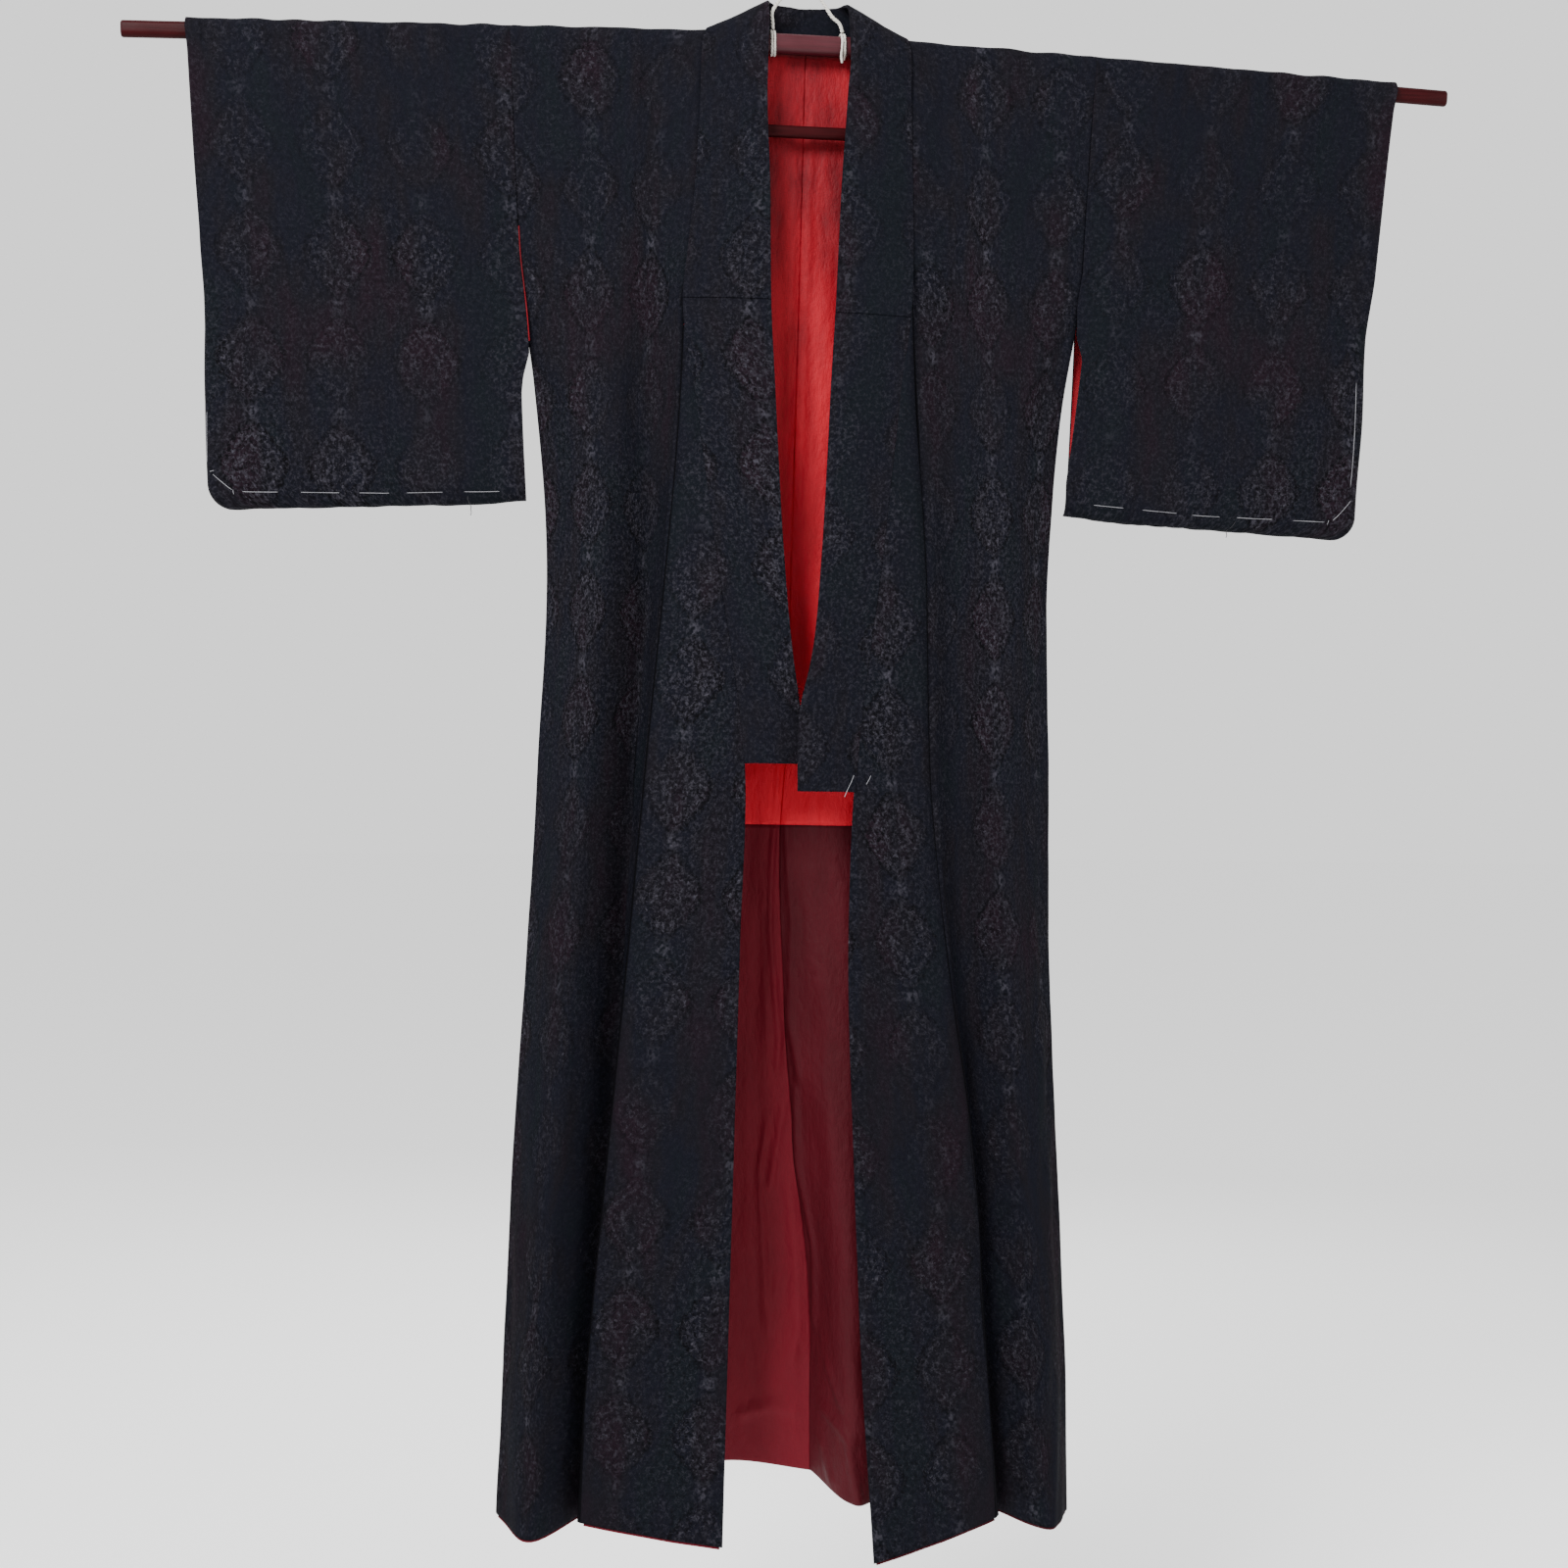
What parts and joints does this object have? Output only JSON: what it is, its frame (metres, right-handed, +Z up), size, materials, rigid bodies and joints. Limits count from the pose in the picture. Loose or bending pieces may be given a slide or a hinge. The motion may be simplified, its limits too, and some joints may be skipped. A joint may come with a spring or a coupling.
{
  "type": "kimono on hanger",
  "caption": "Lined full-length silk kimono with squared hanging sleeves, hung open at the front on a telescopic lacquered rod hanger with a cord loop.",
  "frame": {"origin": "top of the hanger's cord loop, where a hook holds it", "axes": "+Z up, the garment's front faces -Y, +X is to the right as seen from the front"},
  "size_m": [1.402, 0.1166, 1.6474],
  "materials": {
    "face_silk": "slubbed navy silk with a small tone-on-tone woven medallion repeat",
    "red_lining": "plain red silk with a soft sheen",
    "wine_lining": "plain wine-red silk with a soft sheen",
    "lacquer": "dark red lacquered wood, satin",
    "cotton_cord": "twisted white cotton cord"
  },
  "bodies": {
    "root": {"body_left": "face_silk", "body_right": "face_silk", "okumi_left": "face_silk", "okumi_right": "face_silk", "sleeve_left": "face_silk", "sleeve_right": "face_silk", "collar": "face_silk", "over_collar": "face_silk", "lining_left": "red_lining", "lining_right": "red_lining", "okumi_lining_left": "red_lining", "okumi_lining_right": "red_lining", "sleeve_lining_left": "red_lining", "sleeve_lining_right": "red_lining", "skirt_lining_front_left": "wine_lining", "skirt_lining_front_right": "wine_lining", "skirt_lining_back_left": "wine_lining", "skirt_lining_back_right": "wine_lining", "okumi_skirt_lining_left": "wine_lining", "okumi_skirt_lining_right": "wine_lining", "bar_center": "lacquer", "arm_left": "lacquer", "arm_right": "lacquer", "lower_bar": "lacquer", "link_left": "lacquer", "link_right": "lacquer", "cord_tie_left": "cotton_cord", "cord_tie_right": "cotton_cord", "hang_cord": "cotton_cord"}
  },
  "joints": []
}
